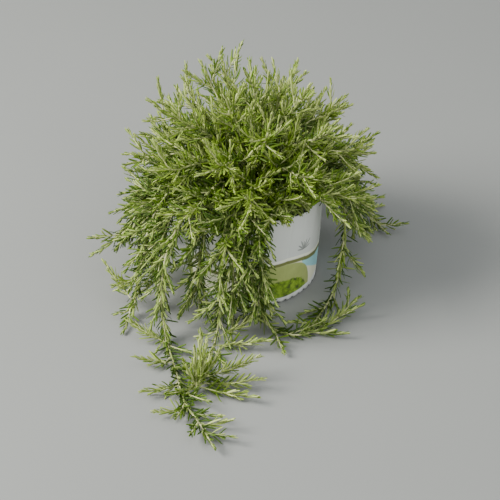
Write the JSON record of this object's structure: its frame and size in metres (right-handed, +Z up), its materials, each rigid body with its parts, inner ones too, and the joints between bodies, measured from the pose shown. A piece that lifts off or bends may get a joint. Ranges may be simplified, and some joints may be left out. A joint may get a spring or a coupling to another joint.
{
  "type": "potted rosemary plant",
  "caption": "Trailing rosemary plant in a round nursery pot with a printed card sleeve; a dome of leafy shoots over the pot and long shoots lying on the surface.",
  "frame": {"origin": "centre of the pot's base, on the surface it stands on", "axes": "+Z up along the pot's axis; -Y is the front, where the sleeve's printed face and the longest trailing shoots are"},
  "size_m": [0.3032, 0.432, 0.2251],
  "materials": {
    "pot": "dark moulded plastic, matte",
    "sleeve": "printed card with a soft sheen",
    "soil": "moist crumbly peat",
    "crown_foliage": "glossy green needles with pale undersides on pale green stems",
    "trailing_foliage": "grey-green needles with pale undersides on pale stems"
  },
  "bodies": {
    "root": {"pot": "pot", "soil": "soil", "sleeve": "sleeve", "shoot_01": "crown_foliage", "shoot_02": "crown_foliage", "shoot_03": "crown_foliage", "shoot_04": "crown_foliage", "shoot_05": "crown_foliage", "shoot_06": "crown_foliage", "shoot_07": "crown_foliage", "shoot_08": "crown_foliage", "shoot_09": "crown_foliage", "shoot_10": "crown_foliage", "shoot_11": "crown_foliage", "shoot_12": "crown_foliage", "shoot_13": "crown_foliage", "shoot_14": "crown_foliage", "shoot_15": "crown_foliage", "shoot_16": "crown_foliage", "shoot_17": "crown_foliage", "shoot_18": "crown_foliage", "shoot_19": "crown_foliage", "shoot_20": "crown_foliage", "shoot_21": "crown_foliage", "shoot_22": "crown_foliage", "shoot_23": "crown_foliage", "shoot_24": "crown_foliage", "shoot_25": "crown_foliage", "shoot_26": "crown_foliage", "shoot_27": "crown_foliage", "shoot_28": "crown_foliage", "shoot_29": "crown_foliage", "shoot_30": "crown_foliage", "shoot_31": "crown_foliage", "shoot_32": "crown_foliage", "shoot_33": "crown_foliage", "shoot_34": "crown_foliage", "shoot_35": "crown_foliage", "skirt_01": "trailing_foliage", "skirt_02": "trailing_foliage", "skirt_03": "trailing_foliage", "skirt_04": "trailing_foliage", "skirt_05": "trailing_foliage", "skirt_06": "trailing_foliage", "skirt_07": "trailing_foliage", "skirt_08": "trailing_foliage", "skirt_09": "trailing_foliage", "skirt_10": "trailing_foliage", "skirt_11": "trailing_foliage", "skirt_12": "trailing_foliage", "trail_front_left": "trailing_foliage", "trail_front": "trailing_foliage", "trail_right": "trailing_foliage", "trail_front_right": "trailing_foliage", "trail_left": "trailing_foliage", "trail_far_left": "trailing_foliage", "trail_back": "trailing_foliage", "trail_back_right": "trailing_foliage", "trail_back_left": "trailing_foliage"}
  },
  "joints": []
}
